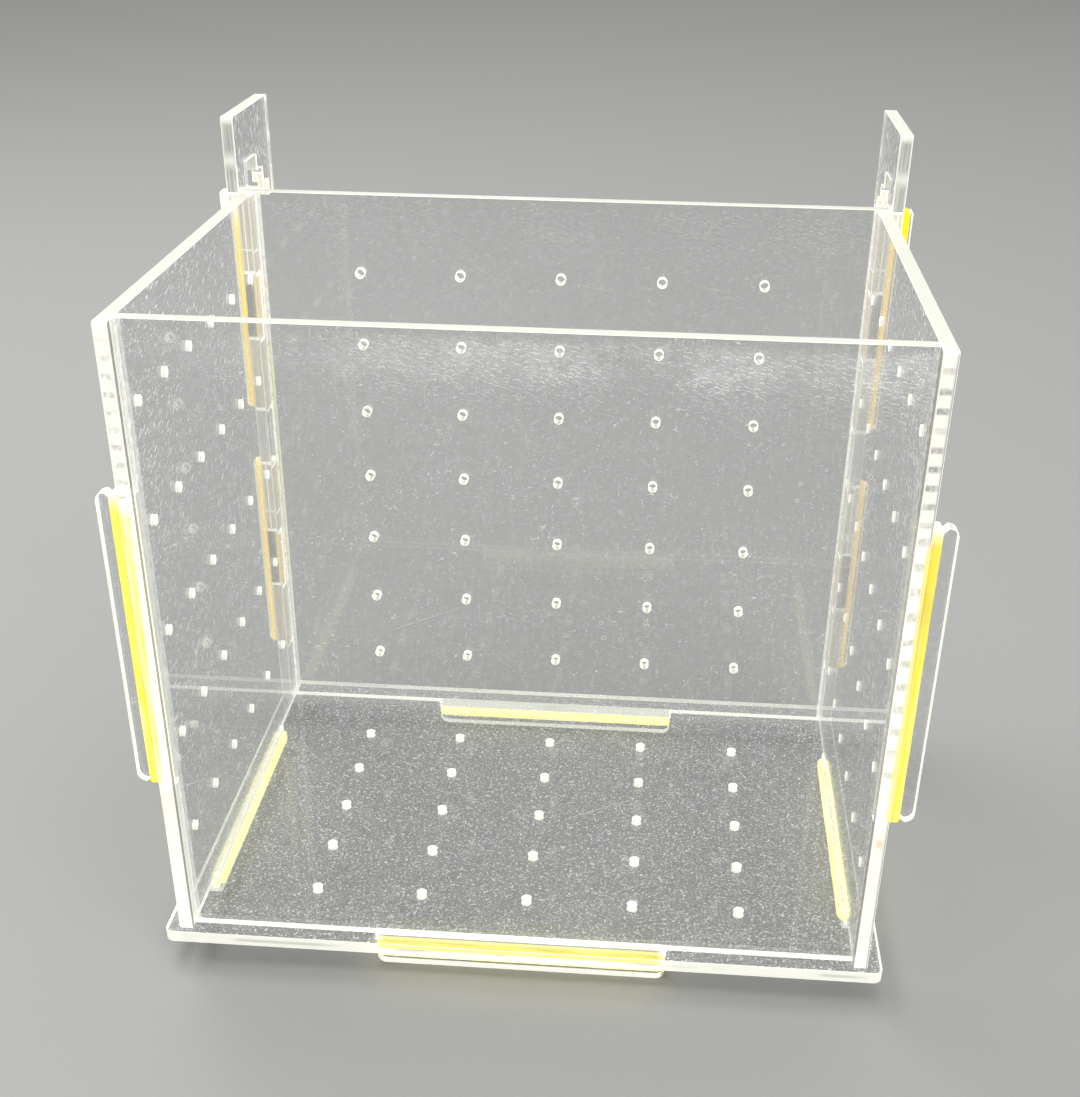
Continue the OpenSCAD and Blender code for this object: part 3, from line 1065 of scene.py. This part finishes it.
def rubberMaterial(kind, along):
    material, tree = newMaterial(kind + "Rubber" + "XYZ"[along])
    deep, usual, pale, glow = rubber["tones"][kind]
    stretch = [1.0, 1.0, 1.0]
    stretch[along] = rubber["stretch"]
    tone = mixColors(noiseAt(tree, "rubberLines", objectCoords(tree, stretch)), usual, pale)
    tone = mixColors(times(noiseAt(tree, "rubberCloud"), rubber["deepShare"]), tone, deep)
    place = placeOf(tree)
    if kind == "front":
        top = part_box("band_front_left")[1].z
        left = under(place[0], 0.0)
        paler = times(fade(place[2], rubber["paler"], top), left, rubber["lemonShare"])
        tone = mixColors(paler, tone, rubber["lemon"])
        golden = times(fade(place[2], rubber["golden"], top), minus(1.0, left), rubber["goldShare"])
        tone = mixColors(golden, tone, rubber["gold"])
        tone = mixColors(fade(place[2], rubber["lit"], top), tone, rubber["litHighlight"])
    elif kind == "back":
        # a painted highlight at the top of the left back band, and deeper yellow at the top of the right one
        atTop = fade(place[2], rubber["backTop"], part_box("front_panel")[1].z)
        end = mixColors(over(place[0], 0.0), rubber["litHighlight"], rubber["vivid"])
        tone = mixColors(atTop, tone, end)
        lowerBand = under(place[2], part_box("band_back_left_upper")[0].z)
        tone = mixColors(times(lowerBand, rubber["fadedShare"]), tone, rubber["faded"])
    bump = fromNode(tree, "ShaderNodeBump", {
        "Height": noiseAt(tree, "rubberSkin", objectCoords(tree, stretch)),
        "Strength": rubber["bump"], "Distance": rubber["bumpDepth"] * mm})
    skin = fromNode(tree, "ShaderNodeBsdfPrincipled", {
        "Base Color": tone, "Roughness": rubber["roughness"], "Normal": bump, "Emission Color": tone,
        "Emission Strength": glow})
    through = fromNode(tree, "ShaderNodeBsdfTranslucent", {"Color": tone})
    return finished(material, mixShaders(rubber["through"], skin, through))


def bandTree():
    tree, given = geometryTree("bandLoop", {
        "Length": "Float", "Depth": "Float", "Width": "Float", "Rubber": "Float", "Strands": "Int",
        "Rounding": "Float", "Wobble": "Float", "Spacing": "Float", "Seed": "Float", "Material": "Material"})
    loop = fromNode(tree, "GeometryNodeCurvePrimitiveQuadrilateral", {
        "Width": minus(given["Length"], given["Rubber"]),
        "Height": minus(given["Depth"], given["Rubber"])})
    bend = times(given["Rubber"], rubber["bend"])
    loop = fromNode(tree, "GeometryNodeFilletCurve", {
        "Curve": loop, "Radius": bend, "Count": rubber["bendSteps"]}, mode="POLY")
    loop = fromNode(tree, "GeometryNodeResampleCurve", {
        "Curve": loop, "Length": given["Spacing"]}, mode="LENGTH")
    strandWidth = maths("DIVIDE", given["Width"], given["Strands"])
    first = times(minus(strandWidth, given["Width"]), 0.5)
    rows = fromNode(tree, "GeometryNodeMeshLine", {
        "Count": given["Strands"], "Start Location": vector(z=first),
        "Offset": vector(z=strandWidth)})
    strands = fromNode(tree, "GeometryNodeInstanceOnPoints", {"Points": rows, "Instance": loop})
    shake = addNode(tree, "ShaderNodeTexNoise", {
        "Vector": fromNode(tree, "GeometryNodeInputPosition"), "W": given["Seed"],
        "Scale": rubber["wobbleScale"], "Detail": 1.0}, noise_dimensions="4D").outputs["Color"]
    shake = fromNode(tree, "ShaderNodeVectorMath", {0: shake, 1: (0.5, 0.5, 0.5)}, operation="SUBTRACT")
    strands = fromNode(tree, "GeometryNodeSetPosition", {
        "Geometry": realized(strands), "Offset": scaled(shake, given["Wobble"])})
    section = fromNode(tree, "GeometryNodeCurvePrimitiveQuadrilateral", {
        "Width": given["Rubber"], "Height": times(strandWidth, rubber["filled"])})
    rounding = times(strandWidth, given["Rounding"])
    section = fromNode(tree, "GeometryNodeFilletCurve", {
        "Curve": section, "Radius": rounding, "Count": rubber["roundSteps"]}, mode="POLY")
    band = fromNode(tree, "GeometryNodeCurveToMesh", {
        "Curve": uprightNormals(strands), "Profile Curve": section})
    band = realized(fromNode(tree, "GeometryNodeSetShadeSmooth", {"Geometry": band}))
    addNode(tree, "NodeGroupOutput", {0: painted(band, given["Material"])})
    return tree


def bandMaterial(node, along):   # bands of one kind that run the same way share a material
    kind = node.split("_")[1]
    made = bpy.data.materials.get(kind + "Rubber" + "XYZ"[along])
    return made or rubberMaterial(kind, along)


def makeBand(node, tree, seed, thickness):
    low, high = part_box(node)
    size = high - low
    axial, depth, length = sorted(range(3), key=lambda i: size[i])
    mesh = grow(node, bpy.data.meshes.new(node), tree, {
        "Length": size[length], "Depth": size[depth], "Width": size[axial],
        "Rubber": (size[depth] - thickness) / 2,
        "Strands": rubber["strands"].get(node, rubber["usualStrands"]), "Rounding": rubber["rounding"],
        "Wobble": rubber["wobble"] * mm, "Spacing": rubber["spacing"] * mm, "Seed": float(seed),
        "Material": bandMaterial(node, length)})
    placeByAxes(mesh, (length, depth, axial), (low + high) / 2)
    return addPiece(node + "_loop", mesh, node, slot="rubber_band")


placeCamera(cameraSet)
buildStudio(studio)
print("studio ready")

plateLow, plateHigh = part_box("bottom_plate")
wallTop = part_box("front_panel")[1].z
sheetTree = cutSheetTree()
plainEdge = glowingEdge("cutEdge", cutEdge["glow"])
holeWall = glowingEdge("drilledWall", cutEdge["holeGlow"])
hookEdge = hookEdgeMaterial(wallTop)
sheets = {   # node: way it faces, how it is worn
    "front_panel": (1, "front"),
    "back_panel": (1, "back"),
    "left_panel": (0, "side"),
    "right_panel": (0, "side"),
    "bottom_plate": (2, "plate"),
    "left_hook": (0, "hook"),
    "right_hook": (0, "hook"),
}
bandNodes = sorted(name for name in frame["nodes"] if name.startswith("band"))
faces = {kind: clearMaterial(kind, wallTop) for kind in wear}
for node, (axis, kind) in sheets.items():
    edge = plainEdge
    if kind == "front":
        edge = jointedEdgeMaterial(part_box("right_panel")[0].x + flatEnough)
    elif kind == "plate":
        edge = plateEdgeMaterial()
    elif kind == "side":
        edge = sideEdgeMaterial(node)
    elif kind == "hook":
        edge = hookEdge
    materials = {"Face Material": faces[kind], "Edge Material": edge, "Hole Material": holeWall}
    makeSheet(node, axis, sheetTree, materials, "hook_acrylic" if kind == "hook" else "clear_acrylic")
print("sheets cut")

loopTree = bandTree()
for seed, node in enumerate(bandNodes):
    makeBand(node, loopTree, seed, plateHigh.z - plateLow.z)
print("bands stretched on")
